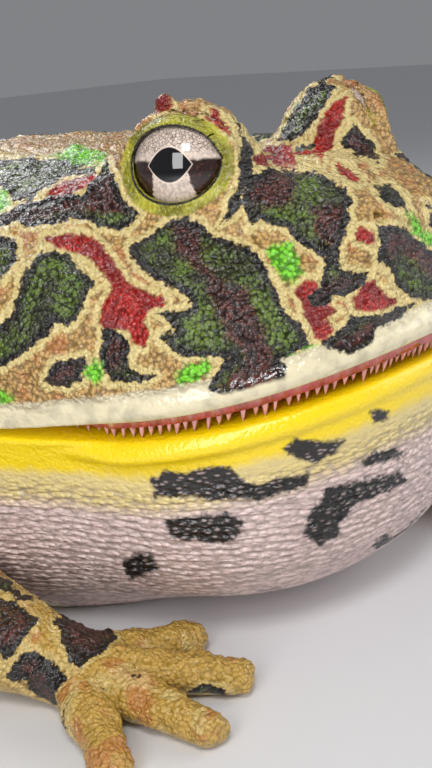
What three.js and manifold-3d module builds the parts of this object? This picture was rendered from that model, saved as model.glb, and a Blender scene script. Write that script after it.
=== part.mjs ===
import * as THREE from 'three';
import { mergeVertices } from 'three/addons/utils/BufferGeometryUtils.js';
import Module from 'manifold-3d';

// An argentine horned frog, life size, sitting on a floor.
// Millimetres, +Z up. The frog faces -Y, its left side is +X, and the floor is Z = 0.

const wasm = await Module();
wasm.setup();

// Driving sizes
const GAP = 0.3;
const SNOUT_Y = -58;
const LIP_Z = 37;
const LIP_DROP = 5.6;
const JAW_HALF_WIDTH = 34;
const JAW_LENGTH = 36;
const JAW_CORNER_Y = SNOUT_Y + JAW_LENGTH;
const NECK_Y = -13;
const THROAT_TOP = 16;
const MOUTH_OPEN = 3.2;
const LOWER_JAW_SET_BACK = 1.2;
const LIP_THICKNESS = 1.6;
const GUM_DEPTH = 1.5;
const GUM_WIDTH = 3.5;
const LIP_POWER = 2.27;
const GAPE_LENGTH = 22;
const GAPE_BEHIND_CORNER = 8;

// Forms of the head's skin: eggs with a centre, half sizes and power, a tub that is an egg
// with one power seen from above and another up its sides, and tapers between two places
const JAWS = [[0, JAW_CORNER_Y, LIP_Z - 3], [JAW_HALF_WIDTH, JAW_LENGTH, 22.5], 2.25];
const CHIN = [[0, JAW_CORNER_Y, LIP_Z - 9], [32.5, 34.6, 27.2], LIP_POWER, 2.9];
const SNOUT = [[0, -43, LIP_Z + 11], [14, 12.5, 7.5]];
const SNOUT_RIDGE = [[13, -40, LIP_Z + 15], [5.5, -51.5, LIP_Z + 11.8], 4.5, 2.6];
const BROW_RIDGE = [[14, -33, LIP_Z + 17], [19, -20, LIP_Z + 12], 6, 6.5];
const CHEEK = [[26, -20, LIP_Z + 1], [11, 14, 12]];

// Torso
const TORSO_CENTRE = [0, 12, 24.5];
const TORSO_HALF = [44, 46, 34];
const TORSO_POWER = 2.3;
const RUMP_SLOPE = 0.32;

// Eyes
const EYE = new THREE.Vector3(14.6, -35.1, 57.2);
const EYE_RADIUS = 6;
const EYE_TURN = THREE.MathUtils.degToRad(65);
const EYE_LIFT = THREE.MathUtils.degToRad(8);
const EYE_AXIS = new THREE.Vector3(
  Math.sin(EYE_TURN) * Math.cos(EYE_LIFT),
  -Math.cos(EYE_TURN) * Math.cos(EYE_LIFT),
  Math.sin(EYE_LIFT),
);
const EYE_SIDE = new THREE.Vector3(0, 0, 1).cross(EYE_AXIS).normalize();
const EYE_UP = EYE_AXIS.clone().cross(EYE_SIDE);
const HORN_TIP = new THREE.Vector3(15.9, -33.6, 64.6);
const MOUND_HALF = [7.3, 7, 5.6];
const MOUND_SET_BACK = 2;
const MOUND_REACH = 9.8;
const HORN_FOOT = [13, -34, 56];
const HORN_RADII = [6.9, 0.6];
const LID_RING = 5.4;
const LID_THICKNESS = 0.95;
const LID_FORWARD = 3.4;

// Nostrils
const NOSTRIL = new THREE.Vector3(5.5, -53.2, 50.6);
const NOSTRIL_RADIUS = 0.8;

// Eardrums
const EARDRUM = new THREE.Vector3(36, -18, 40);
const EARDRUM_RADIUS = 2.6;
const EARDRUM_RING = 0.7;

// Teeth
const TOOTH_COUNT = 46;
const TOOTH_LENGTH = 1.4;
const TOOTH_WIDTH = 0.85;
const TOOTH_ROOT = 0.6;
const NARROWEST_GAPE = 0.35;

// Limbs: joint places on the left side, and the radius of the limb along each length
const SHOULDER = [29, -8, 22];
const ELBOW = [47, -5, 14];
const WRIST = [41, -26, 6.5];
const PALM = [38, -33, 4];
const FINGER_TIPS = [[45, -47, 1.9], [35, -51, 1.9], [26, -47, 1.9], [23, -37, 1.9]];
const UPPER_ARM_RADII = [11, 10, 7.6];
const FOREARM_RADII = [7.8, 7.6, 5.4];
const PALM_RADII = [5.2, 4.8, 4];
const FINGER_RADII = [3.4, 2.6, 2];
const HIP = [14, 38, 21];
const KNEE = [46, 17, 15];
const SHIN = [42, 36, 12];
const ANKLE = [32, 50, 8];
const TARSUS = [46, 37, 4.4];
const TOE_TIPS = [[55, 48, 1.9], [62, 38, 1.9], [65, 25, 1.9], [64, 9, 1.9], [56, 12, 1.9]];
const THIGH_RADII = [17, 15.5, 10.5];
const SHANK_RADII = [9.5, 9, 6];
const INSTEP_RADII = [5.6, 5.2, 4.4];
const TOE_RADII = [3.6, 2.6, 2];
const WEB_THICKNESS = 1.4;
const WEB_REACH = 0.6;
const WEB_NOTCH = 0.42;

// Colours
const GREEN = 0x4c5a26;
const BROWN = 0x4a3424;
const CREAM = 0xd8c9a4;
const YELLOW = 0xd9c02c;
const PALE = 0xc9b8b0;
const IRIS = 0xd9c4b4;

// Field maths: distances in millimetres, negative inside
function softMin(a, b, k) {
  const h = THREE.MathUtils.clamp(0.5 + (0.5 * (b - a)) / k, 0, 1);
  return b + (a - b) * h - k * h * (1 - h);
}

function egg(p, centre, half, power = 2) {
  let sum = 0;
  let slope = 0;
  for (let i = 0; i < 3; i += 1) {
    const q = Math.abs((p[i] - centre[i]) / half[i]) + 1e-6;
    sum += q ** power;
    slope += (q ** (power - 1) / half[i]) ** 2;
  }
  const k = sum ** (1 / power);
  return (k - 1) / Math.max(k ** (1 - power) * Math.sqrt(slope), 0.01);
}

function tub(p, centre, half, planPower, sidePower) {
  const q = p.map((value, i) => Math.abs((value - centre[i]) / half[i]) + 1e-6);
  const plan = (q[0] ** planPower + q[1] ** planPower) ** (1 / planPower);
  const k = (plan ** sidePower + q[2] ** sidePower) ** (1 / sidePower);
  const inwards = k ** (1 - sidePower) * plan ** (sidePower - planPower);
  const across = (inwards * q[0] ** (planPower - 1)) / half[0];
  const along = (inwards * q[1] ** (planPower - 1)) / half[1];
  const upward = (q[2] / k) ** (sidePower - 1) / half[2];
  return (k - 1) / Math.max(Math.hypot(across, along, upward), 0.01);
}

function taper(p, a, b, ra, rb) {
  const d = [b[0] - a[0], b[1] - a[1], b[2] - a[2]];
  const q = [p[0] - a[0], p[1] - a[1], p[2] - a[2]];
  const along = (q[0] * d[0] + q[1] * d[1] + q[2] * d[2]) / (d[0] ** 2 + d[1] ** 2 + d[2] ** 2);
  const t = THREE.MathUtils.clamp(along, 0, 1);
  const away = Math.hypot(q[0] - t * d[0], q[1] - t * d[1], q[2] - t * d[2]);
  return away - (ra + (rb - ra) * t);
}

// The back falls away behind the hips
function torsoField(p) {
  const behind = THREE.MathUtils.smoothstep(p[1], TORSO_CENTRE[1], TORSO_CENTRE[1] + TORSO_HALF[1]);
  const rise = Math.max(p[2] - TORSO_CENTRE[2], 0) * RUMP_SLOPE * behind;
  return egg([p[0], p[1], p[2] + rise], TORSO_CENTRE, TORSO_HALF, TORSO_POWER);
}

// The eye mound rises from the brow to the horn-like point of the upper lid
function moundField(p) {
  const from = new THREE.Vector3(...p).sub(EYE);
  const local = [from.dot(EYE_SIDE), from.dot(EYE_UP), from.dot(EYE_AXIS)];
  const wall = egg(local, [0, 0, -MOUND_SET_BACK], MOUND_HALF);
  return softMin(wall, taper(p, HORN_FOOT, HORN_TIP.toArray(), ...HORN_RADII), 1);
}

// The trunk's skin: broad jaws, snout, brow ridges and jaw muscles run into the round torso
function trunkField(p) {
  const below = THREE.MathUtils.clamp((lipHeight(p[0]) - p[2]) / MOUTH_OPEN, 0, 1);
  const setBack = (LOWER_JAW_SET_BACK * below * mouthGape(p[1])) / MOUTH_OPEN;
  let f = softMin(egg(p, ...JAWS), tub(p, ...CHIN), 1.5) + setBack;
  f = softMin(f, egg(p, ...SNOUT), 5);
  f = softMin(f, taper(p, ...SNOUT_RIDGE), 4);
  f = softMin(f, taper(p, ...BROW_RIDGE), 5);
  f = softMin(f, egg(p, ...CHEEK), 6);
  return softMin(f, torsoField(p), 9);
}

const trunk = (x, y, z) => trunkField([Math.abs(x), y, z]);
const trunkWithMounds = (x, y, z) => softMin(trunk(x, y, z), moundField([Math.abs(x), y, z]), 3);

// Closed meshes and solids
function toSolid(geometry) {
  const bare = geometry.clone();
  bare.deleteAttribute('normal');
  bare.deleteAttribute('uv');
  const merged = mergeVertices(bare, 1e-4);
  const mesh = new wasm.Mesh({
    numProp: 3,
    vertProperties: new Float32Array(merged.attributes.position.array),
    triVerts: new Uint32Array(merged.index.array),
  });
  return new wasm.Manifold(mesh);
}

function largestBody(solid) {
  return solid.decompose().reduce((best, next) => (next.volume() > best.volume() ? next : best));
}

function toGeometry(solid) {
  const { vertProperties, triVerts } = solid.getMesh();
  const geometry = new THREE.BufferGeometry();
  geometry.setAttribute('position', new THREE.BufferAttribute(new Float32Array(vertProperties), 3));
  geometry.setIndex(new THREE.BufferAttribute(new Uint32Array(triVerts), 1));
  geometry.computeVertexNormals();
  return geometry;
}

function box(low, high) {
  const geometry = new THREE.BoxGeometry(high[0] - low[0], high[1] - low[1], high[2] - low[2]);
  geometry.translate((low[0] + high[0]) / 2, (low[1] + high[1]) / 2, (low[2] + high[2]) / 2);
  return toSolid(geometry);
}

function ball(centre, radius, columns = 20, rows = 14) {
  return toSolid(new THREE.SphereGeometry(radius, columns, rows).translate(centre.x, centre.y, centre.z));
}

// A sphere whose vertices move out along their rays to where a field has a level, or to a limit
function fieldSolid(field, centre, columns, rows, level = 0, limit = 90) {
  const geometry = new THREE.SphereGeometry(1, columns, rows);
  const places = geometry.attributes.position;
  const ray = new THREE.Vector3();
  const probe = new THREE.Vector3();
  const depth = (distance) => field(...probe.copy(centre).addScaledVector(ray, distance)) - level;
  for (let i = 0; i < places.count; i += 1) {
    ray.fromBufferAttribute(places, i).normalize();
    let inside = 0;
    let outside = limit;
    for (let step = 0; step < 26; step += 1) {
      const middle = (inside + outside) / 2;
      if (depth(middle) < 0) inside = middle;
      else outside = middle;
    }
    places.setXYZ(i, ...probe.copy(centre).addScaledVector(ray, inside).toArray());
  }
  return toSolid(geometry);
}

// A tube of changing radius with round ends, made from a sphere's rings
function tube(points, radii, columns = 12, rows = 14, grow = 0) {
  const curve = new THREE.CatmullRomCurve3(points.map((p) => new THREE.Vector3(...p)));
  const geometry = new THREE.SphereGeometry(1, columns, rows);
  const places = geometry.attributes.position;
  const caps = 3;
  const side = new THREE.Vector3();
  const above = new THREE.Vector3();
  for (let i = 0; i < places.count; i += 1) {
    const unit = new THREE.Vector3().fromBufferAttribute(places, i);
    const row = Math.round((Math.acos(THREE.MathUtils.clamp(unit.y, -1, 1)) / Math.PI) * rows);
    const along = THREE.MathUtils.clamp((row - caps) / (rows - 2 * caps), 0, 1);
    const spot = along * (radii.length - 1);
    const k = Math.min(Math.floor(spot), radii.length - 2);
    const radius = THREE.MathUtils.lerp(radii[k], radii[k + 1], spot - k) + grow;
    const capAngle = (Math.min(row, rows - row, caps) / caps) * (Math.PI / 2);
    const reach = (row < rows / 2 ? -1 : 1) * Math.cos(capAngle) * radius;
    const around = Math.atan2(unit.z, unit.x);
    const forward = curve.getTangent(along);
    side.set(0, 0, 1).cross(forward).normalize();
    above.copy(forward).cross(side);
    const place = curve.getPoint(along).addScaledVector(forward, reach);
    place.addScaledVector(side, Math.cos(around) * Math.sin(capAngle) * radius);
    place.addScaledVector(above, Math.sin(around) * Math.sin(capAngle) * radius);
    places.setXYZ(i, place.x, place.y, place.z);
  }
  return toSolid(geometry);
}

// The mouth line: its height falls towards the jaw corners, and its plan is a superellipse
function lipHeight(x) {
  return LIP_Z - LIP_DROP * Math.min(Math.abs(x) / JAW_HALF_WIDTH, 1.2) ** 2;
}

function mouthGape(y) {
  return MOUTH_OPEN * THREE.MathUtils.clamp((JAW_CORNER_Y + GAPE_BEHIND_CORNER - y) / GAPE_LENGTH, 0, 1);
}

function lipPoint(angle, inset) {
  const bend = 2 / LIP_POWER;
  const x = Math.sign(Math.cos(angle)) * Math.abs(Math.cos(angle)) ** bend;
  const y = Math.abs(Math.sin(angle)) ** bend;
  return new THREE.Vector2((JAW_HALF_WIDTH - inset) * x, JAW_CORNER_Y - (JAW_LENGTH - inset) * y);
}

// An upright block whose outline is the lip curve moved inwards
function jawPlug(inset) {
  const steps = 40;
  const outline = [];
  for (let i = 0; i <= steps; i += 1) outline.push(lipPoint((Math.PI * i) / steps, inset));
  const back = JAW_HALF_WIDTH - inset;
  outline.push(new THREE.Vector2(-back, 0), new THREE.Vector2(back, 0));
  const shape = new THREE.Shape(outline);
  return toSolid(new THREE.ExtrudeGeometry(shape, { depth: LIP_Z * 2, bevelEnabled: false }));
}

// A slab under the head whose top and bottom follow the mouth line
function mouthSlab(top, bottom, rows = 1) {
  const half = 60;
  const geometry = new THREE.BoxGeometry(2 * half, half, 1, 30, rows, 1);
  geometry.translate(0, NECK_Y - half / 2, 0);
  const places = geometry.attributes.position;
  for (let i = 0; i < places.count; i += 1) {
    const height = places.getZ(i) > 0 ? top : bottom;
    places.setZ(i, height(places.getX(i), places.getY(i)));
  }
  return toSolid(geometry);
}

const above = (rise) => (x, y) => lipHeight(x) + rise;
const gapeFloor = (x, y) => lipHeight(x) - GAP / 2 - mouthGape(y);

// Head
function onSkin(target, centre = new THREE.Vector3(0, -32, LIP_Z)) {
  const ray = target.clone().sub(centre).normalize();
  let inside = 0;
  let outside = 60;
  for (let step = 0; step < 30; step += 1) {
    const middle = (inside + outside) / 2;
    if (trunk(...centre.clone().addScaledVector(ray, middle)) < 0) inside = middle;
    else outside = middle;
  }
  return { place: centre.clone().addScaledVector(ray, inside), ray };
}

function aim(geometry, direction, place) {
  const turn = new THREE.Quaternion().setFromUnitVectors(new THREE.Vector3(0, 0, 1), direction);
  return geometry.applyQuaternion(turn).translate(place.x, place.y, place.z);
}

function mirrored(vector, side) {
  return new THREE.Vector3(side * vector.x, vector.y, vector.z);
}

// An eye mound, in finer facets than the head, with the ring of lid round the eye
function eyeMound(side) {
  const axis = mirrored(EYE_AXIS, side);
  const eye = mirrored(EYE, side);
  const base = eye.clone().addScaledVector(axis, -MOUND_SET_BACK);
  const mound = fieldSolid(trunkWithMounds, base, 22, 16, 0, MOUND_REACH);
  const ring = new THREE.TorusGeometry(LID_RING, LID_THICKNESS, 6, 22);
  return mound.add(toSolid(aim(ring, axis, eye.addScaledVector(axis, LID_FORWARD))));
}

function nostril(side) {
  const { place } = onSkin(mirrored(NOSTRIL, side));
  return ball(place, NOSTRIL_RADIUS, 10, 8);
}

function eardrum(side) {
  const { place, ray } = onSkin(mirrored(EARDRUM, side));
  return toSolid(aim(new THREE.TorusGeometry(EARDRUM_RADIUS, EARDRUM_RING, 6, 18), ray, place));
}

function gum() {
  const slab = mouthSlab(above(1), (x, y) => lipHeight(x) - GUM_DEPTH * mouthGape(y) / MOUTH_OPEN, 5);
  return slab.intersect(jawPlug(LIP_THICKNESS)).subtract(jawPlug(LIP_THICKNESS + GUM_WIDTH));
}

function teeth() {
  const random = seeded(7);
  const solids = [];
  for (let i = 1; i < TOOTH_COUNT; i += 1) {
    const angle = (Math.PI * (i + 0.3 * (random() - 0.5))) / TOOTH_COUNT;
    const root = lipPoint(angle, LIP_THICKNESS + GUM_WIDTH * 0.3);
    const open = mouthGape(root.y) / MOUTH_OPEN;
    if (open > NARROWEST_GAPE) {
      const reach = TOOTH_LENGTH * open * (0.75 + 0.25 * random());
      const height = reach + GUM_DEPTH + TOOTH_ROOT;
      const tooth = new THREE.ConeGeometry(TOOTH_WIDTH / 2, height, 5).rotateX(-Math.PI / 2);
      const foot = lipHeight(root.x) - GUM_DEPTH * open - reach;
      solids.push(toSolid(tooth.translate(root.x, root.y, foot + height / 2)));
    }
  }
  return solids;
}

function seeded(seed) {
  let state = seed;
  return () => {
    state = (state * 1664525 + 1013904223) % 4294967296;
    return state / 4294967296;
  };
}

const headSkin = fieldSolid(trunk, new THREE.Vector3(0, -28, LIP_Z - 2), 54, 36);
const behindNeck = box([-80, NECK_Y - GAP / 2, -40], [80, 90, 90]);
const sockets = [-1, 1].map((side) => ball(mirrored(EYE, side), EYE_RADIUS + GAP, 18, 12));

function head() {
  let solid = headSkin.add(eyeMound(-1)).add(eyeMound(1)).add(eardrum(-1)).add(eardrum(1));
  solid = solid.subtract(mouthSlab(above(GAP / 2), () => -30)).subtract(behindNeck);
  solid = solid.add(gum());
  for (const tooth of teeth()) solid = solid.add(tooth);
  for (const cut of [...sockets, nostril(-1), nostril(1)]) solid = solid.subtract(cut);
  return largestBody(solid);
}

function lowerJaw() {
  const rim = mouthSlab(above(2), gapeFloor, 5).subtract(jawPlug(LIP_THICKNESS + GUM_WIDTH + 1));
  const below = mouthSlab(above(-GAP / 2), () => THROAT_TOP + GAP / 2);
  return largestBody(headSkin.intersect(below).subtract(rim).subtract(behindNeck));
}

function throat() {
  const room = box([-80, -90, 0], [80, NECK_Y - GAP / 2, THROAT_TOP - GAP / 2]);
  return largestBody(headSkin.intersect(room));
}

// Torso
function torso() {
  const skin = fieldSolid(trunk, new THREE.Vector3(0, 10, 26), 44, 30);
  return largestBody(skin.intersect(box([-80, NECK_Y + GAP / 2, 0], [80, 90, 90])));
}

// Limbs, built on the left and mirrored for the right
const aboveFloor = box([-120, -120, 0], [120, 120, 90]);
const trunkRoom = fieldSolid(trunk, new THREE.Vector3(0, -4, 27), 72, 48, GAP);

function upperArm(grow = 0) {
  return tube([SHOULDER, ELBOW], UPPER_ARM_RADII, 14, 12, grow);
}

function forearm(grow = 0) {
  return tube([ELBOW, WRIST], FOREARM_RADII, 14, 12, grow);
}

function hand() {
  let solid = tube([WRIST, PALM], PALM_RADII, 12, 10);
  for (const tip of FINGER_TIPS) {
    solid = solid.add(tube([PALM, midway(PALM, tip), tip], FINGER_RADII, 8, 10));
  }
  return solid;
}

function thigh(grow = 0) {
  return tube([HIP, KNEE], THIGH_RADII, 18, 14, grow);
}

function shank(grow = 0) {
  return tube([KNEE, SHIN, ANKLE], SHANK_RADII, 16, 14, grow);
}

function foot() {
  let solid = tube([ANKLE, TARSUS], INSTEP_RADII, 12, 10);
  for (const tip of TOE_TIPS) {
    solid = solid.add(tube([TARSUS, midway(TARSUS, tip), tip], TOE_RADII, 8, 10));
  }
  return solid.add(toeWeb());
}

function toeWeb() {
  const outline = [new THREE.Vector2(TARSUS[0], TARSUS[1])];
  TOE_TIPS.forEach((tip, i) => {
    outline.push(webPoint(tip, WEB_REACH));
    if (i < TOE_TIPS.length - 1) outline.push(webPoint(midway(tip, TOE_TIPS[i + 1]), WEB_NOTCH));
  });
  const shape = new THREE.Shape(outline);
  return toSolid(new THREE.ExtrudeGeometry(shape, { depth: WEB_THICKNESS, bevelEnabled: false }));
}

function midway(a, b) {
  return a.map((value, i) => (value + b[i]) / 2);
}

function webPoint(tip, reach) {
  return new THREE.Vector2(
    TARSUS[0] + reach * (tip[0] - TARSUS[0]),
    TARSUS[1] + reach * (tip[1] - TARSUS[1]),
  );
}

function cleared(solid, ...others) {
  let left = solid.intersect(aboveFloor).subtract(trunkRoom);
  for (const other of others) left = left.subtract(other);
  return largestBody(left);
}

function material(color, roughness = 0.35) {
  return new THREE.MeshStandardMaterial({ color, roughness, metalness: 0 });
}

const frog = new THREE.Group();

function place(name, solid, look) {
  const mesh = new THREE.Mesh(toGeometry(solid), look);
  mesh.name = name;
  frog.add(mesh);
}

place('head', head(), material(GREEN));
place('lower_jaw', lowerJaw(), material(YELLOW));
place('throat', throat(), material(PALE));
place('torso', torso(), material(GREEN));

const leftLimbs = {
  upper_arm: cleared(upperArm()),
  forearm: cleared(forearm(), upperArm(GAP)),
  hand: cleared(hand(), forearm(GAP), upperArm(GAP)),
  thigh: cleared(thigh()),
  shank: cleared(shank(), thigh(GAP)),
  foot: cleared(foot(), shank(GAP), thigh(GAP)),
};

for (const [side, word] of [[1, 'left'], [-1, 'right']]) {
  const eye = new THREE.SphereGeometry(EYE_RADIUS, 18, 12);
  const eyeball = new THREE.Mesh(eye, material(IRIS, 0.05));
  eyeball.name = `${word}_eye`;
  eyeball.position.copy(mirrored(EYE, side));
  frog.add(eyeball);
  for (const [name, solid] of Object.entries(leftLimbs)) {
    place(`${word}_${name}`, side === 1 ? solid : solid.mirror([1, 0, 0]), material(BROWN));
  }
}

export default frog;
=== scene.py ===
"""Argentine horned frog, life size: its skin, eyes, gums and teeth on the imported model."""

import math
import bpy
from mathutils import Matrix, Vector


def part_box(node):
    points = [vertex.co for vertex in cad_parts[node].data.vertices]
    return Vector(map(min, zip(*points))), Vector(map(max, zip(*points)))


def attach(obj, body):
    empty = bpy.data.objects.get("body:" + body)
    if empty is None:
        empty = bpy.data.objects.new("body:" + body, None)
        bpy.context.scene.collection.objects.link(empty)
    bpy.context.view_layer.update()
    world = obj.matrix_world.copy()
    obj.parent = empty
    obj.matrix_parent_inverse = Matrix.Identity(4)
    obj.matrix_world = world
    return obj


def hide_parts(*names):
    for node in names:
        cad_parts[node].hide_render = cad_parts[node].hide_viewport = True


bl_info = {
    "name": "Argentine Horned Frog",
    "version": (1, 0, 0),
    "blender": (4, 5, 0),
    "location": "View3D > Sidebar > Frog",
    "description": "Builds the frog's skin, eyes, gums and teeth, with floor, lights and camera",
    "category": "Object",
}

import bpy
import numpy as np
from bpy.props import FloatProperty, FloatVectorProperty, PointerProperty
from mathutils import Quaternion, Vector

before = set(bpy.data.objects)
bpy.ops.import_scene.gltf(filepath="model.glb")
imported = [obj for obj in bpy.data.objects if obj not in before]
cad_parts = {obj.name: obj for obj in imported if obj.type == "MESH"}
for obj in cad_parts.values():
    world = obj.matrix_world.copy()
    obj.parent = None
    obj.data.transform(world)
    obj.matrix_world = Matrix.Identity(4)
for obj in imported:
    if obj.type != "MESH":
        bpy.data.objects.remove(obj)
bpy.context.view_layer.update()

# Sizes in millimetres, as in the solids: the frog faces -Y, its left side is +X, the floor is Z = 0
MM = 0.001
SNOUT_Y = -58.0
LIP_Z = 37.0
LIP_DROP = 5.6
LIP_POWER = 2.27
JAW_HALF_WIDTH = 34.0
JAW_LENGTH = 36.0
JAW_CORNER_Y = SNOUT_Y + JAW_LENGTH
MOUTH_OPEN = 3.2
GAPE_LENGTH = 22.0
GAPE_BEHIND_CORNER = 8.0
LIP_THICKNESS = 1.6
GUM_DEPTH = 1.5
GUM_WIDTH = 3.5
MOUTH_DEPTH = 9.0
LIP_BAND = 3.2
LIP_ROLL = 1.5
LOWER_LIP_ROLL = 1.35
LOWER_JAW_SET_BACK = 1.2
LIPS_BEHIND_CORNER = 12.0
LIPS_FADE = 6.0
ROOF_RISE = 0.6
NARROWEST_SLOT = 0.15
SOCKET_GAP = 0.03

# Forms of the head: eggs with a centre, half sizes and power, a tub that is an egg with one
# power seen from above and another up its sides, and tapers between two places
JAWS = ((0, JAW_CORNER_Y, LIP_Z - 3), (JAW_HALF_WIDTH, JAW_LENGTH, 22.5), 2.25)
CHIN = ((0, JAW_CORNER_Y, LIP_Z - 9), (32.5, 34.6, 27.2), LIP_POWER, 2.9)
SNOUT = ((0, -43, LIP_Z + 11), (14, 12.5, 7.5))
SNOUT_RIDGE = ((13, -40, LIP_Z + 15), (5.5, -51.5, LIP_Z + 11.8), 4.5, 2.6)
BROW_RIDGE = ((14, -33, LIP_Z + 17), (19, -20, LIP_Z + 12), 6, 6.5)
CHEEK = ((26, -20, LIP_Z + 1), (11, 14, 12))

TORSO_CENTRE = (0.0, 12.0, 24.5)
TORSO_HALF = (44.0, 46.0, 34.0)
TORSO_POWER = 2.3
RUMP_SLOPE = 0.32

EYE_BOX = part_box("left_eye")
HORN_TIP = (15.9, -33.6, 63.9)
MOUND_HALF = (7.3, 7.0, 5.6)
MOUND_SET_BACK = 2.0
HORN_FOOT = (13.0, -34.0, 56.0)
HORN_RADII = (6.9, 0.9)
EYE_TURN = math.radians(65)
EYE_LIFT = math.radians(8)
LID_HALF_WIDTH = 5.2
LID_HALF_HEIGHT = 4.2
LID_EDGE_RADIUS = 0.95
LID_EDGE_SHIFT = 0.8
LID_PROUD = 0.35
PUPIL_HALF_WIDTH = 2.45
PUPIL_HALF_HEIGHT = 1.85
PUPIL_BLACK = (0.002, 0.002, 0.003)

NOSTRIL = (5.5, -54.2, 50.8)
NOSTRIL_RADIUS = 0.95

# Places along the left limbs, the tips of the digits, and the radii along each part
SHOULDER = (29, -8, 22)
ELBOW = (47, -5, 14)
WRIST = (41, -26, 6.5)
PALM = (38, -33, 4)
FINGER_TIPS = ((45, -47, 1.9), (35, -51, 1.9), (26, -47, 1.9), (23, -37, 1.9))
HIP = (14, 38, 21)
KNEE = (46, 17, 15)
SHIN = (42, 36, 12)
ANKLE = (32, 50, 8)
TARSUS = (46, 37, 4.4)
TOE_TIPS = ((55, 48, 1.9), (62, 38, 1.9), (65, 25, 1.9), (64, 9, 1.9), (56, 12, 1.9))
UPPER_ARM_RADII = (11, 10, 7.6)
FOREARM_RADII = (7.8, 7.4, 5.2)
PALM_RADII = (5.0, 4.4)
FINGER_RADII = (3.4, 2.4, 1.95)
THIGH_RADII = (17, 15.5, 10.3)
SHANK_RADII = (9.5, 9, 5.8)
INSTEP_RADII = (5.4, 4.5)
TOE_RADII = (3.5, 2.4, 1.9)
WEB_REACH = 0.62
WEB_NOTCH = 0.42
WEB_HEIGHT = 1.0
WEB_HALF_THICKNESS = 0.6

# How softly each form runs into those before it, and each opening is cut
BLEND = {
    "chin": 1.5, "snout": 5, "snout_ridge": 4, "brow": 5, "cheek": 6, "mound": 3, "horn": 2.2,
    "torso": 9, "limb": 2.5, "bend": 2, "elbow": 2.5, "knee": 2, "wrist": 1.5, "digit": 1.0, "web": 1.2,
    "lid_edge": 0.8, "upper_lip": 0.5, "lower_lip": 0.6,
}
CUT = {"lids": 0.6, "socket": 0.2, "mouth": 0.45, "nostril": 0.5, "floor": 0.5}

# The grid that the skin is meshed on: for each axis both ends, its finer stretch and both steps
GRID = ((-70, 70, -38, 38, 0.5, 1.0), (-61, 61, -61, -12, 0.5, 1.0), (-1.2, 66.2, 12, 66, 0.5, 0.8))
# Points within this distance of the skin are worked out in full, in batches of this many
NEAR_SKIN = 2.6
BATCH = 400000
# Vertices settle on the skin in this many rounds, each by this distance at most, along the slope
# that a small step shows
SETTLING_ROUNDS = 2
LONGEST_MOVE = 0.4
SLOPE_STEP = 0.04
# Further than any outline, and a mark's value where it has no part
FAR = 1e9
NO_MARK = 20
# The rings and spokes of an eyeball's mesh
EYE_RINGS = 72
EYE_SPOKES = 96

# Sizes of the textures of skin and iris and the depth of the skin's bump, in metres
COARSE = 0.0016
FINE = 0.0005
BROAD = 0.0045
MEDIUM = 0.0018
SPECK = 0.0005
GRAIN = 0.0003
WEAVE = 0.0011
GUM_MOTTLE = 0.002
WEAVE_SQUASH = (1, 1, 2.1)
RELIEF = 0.00034
IRIS_GRIT = 0.00035
IRIS_MOTTLE = 0.0012
VEIN_SPACING = 1 / 2600
TOOTH_MOTTLE = 0.0012

# Sizes of the body's markings and of the skin's relief
BODY_CELL = 15
LIMB_CELL = 8.5
LIME_SPACING = 15
LIME_RADII = (0.8, 2.6)
BELLY_SPACING = 9
BELLY_RADII = (0.5, 2.0)
GRANULE_SIZE = 0.8
WART_SIZE = 2.6
TUBERCLE_SPACING = 7.5
TUBERCLE_EDGE = (0.15, 1.5)
FOLD_SIZE = 5.5
FOLD_HEIGHT = 0.34
RIDGE_SIZE = 3.2
RIDGE_HEIGHT = 0.16
WRINKLE_TURN = 6.2

# Where the outlines hold, in the photograph's pixels: they fade in over its left edge and end low on
# the throat. On the far side, those that it shows end at its right edge. Those that both sides share
# run on past it.
CHART_LEFT = (-20, 2)
CHART_RIGHT = 436
FOLDED_RIGHT = 520
CHART_BOTTOM = 640

# Marks are kept to this distance each side of an outline, in millimetres
MARK_REACH = 8

# Teeth: widths, root and tip in millimetres, the rest as shares of their length or spacing
TOOTH_ROW_INSET = LIP_THICKNESS + 0.75
NARROWEST_GAPE = 0.7
MISSING_TEETH = 0.12
TOOTH_WIDTHS = (0.3, 0.5)
TOOTH_ROOT = 0.5
TOOTH_TIP = 0.012
TOOTH_HOOK = 0.22
TOOTH_LEAN = 0.12
TOOTH_REACHES = (0.55, 1.0)
TOOTH_SPACINGS = (0.7, 1.3)
TOOTH_SEED = 17
TOOTH_RINGS = 7
TOOTH_SPOKES = 8
LIP_STEPS = 2000

# Soft lights: place, width and height, and power; the window stands off the near eye, by the camera's
# back, right and up directions
LIGHTS = {
    "key": ((-170, -190, 270), (80, 80), 0.42),
    "fill": ((180, -220, 140), (200, 200), 0.3),
    "rim": ((60, 220, 240), (160, 160), 0.45),
}
LIGHTS_AIM = (0, -30, 35)
WINDOW_DISTANCE = 200
WINDOW_LEFT, WINDOW_DOWN = 0.34, 0.02
WINDOW_SIZE = (80, 120)
WINDOW_POWER = 0.2
SKY_COLOUR = (0.82, 0.84, 0.88)
SKY_POWER = 0.27
FLOOR_HALF = 1500.0

# The photograph's view, in the same frame
PHOTO_WIDTH = 432
PHOTO_HEIGHT = 768
SENSOR = 36.0
CAMERA_AZIMUTH = math.radians(-45.7)
CAMERA_ELEVATION = math.radians(17.47)
CAMERA_ROLL = math.radians(-4.87)
CAMERA_DISTANCE = 115.2
CAMERA_TARGET = np.array((-24.27, -46.1, 36.0))
FOCAL_PIXELS = 1098.0
CLIP_START = 0.002


# Distance fields: millimetres to a form's surface, negative inside
def soft_min(a, b, k):
    h = np.clip(0.5 + 0.5 * (b - a) / k, 0.0, 1.0)
    return b + (a - b) * h - k * h * (1.0 - h)


def soft_max(a, b, k):
    return -soft_min(-a, -b, k)


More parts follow.
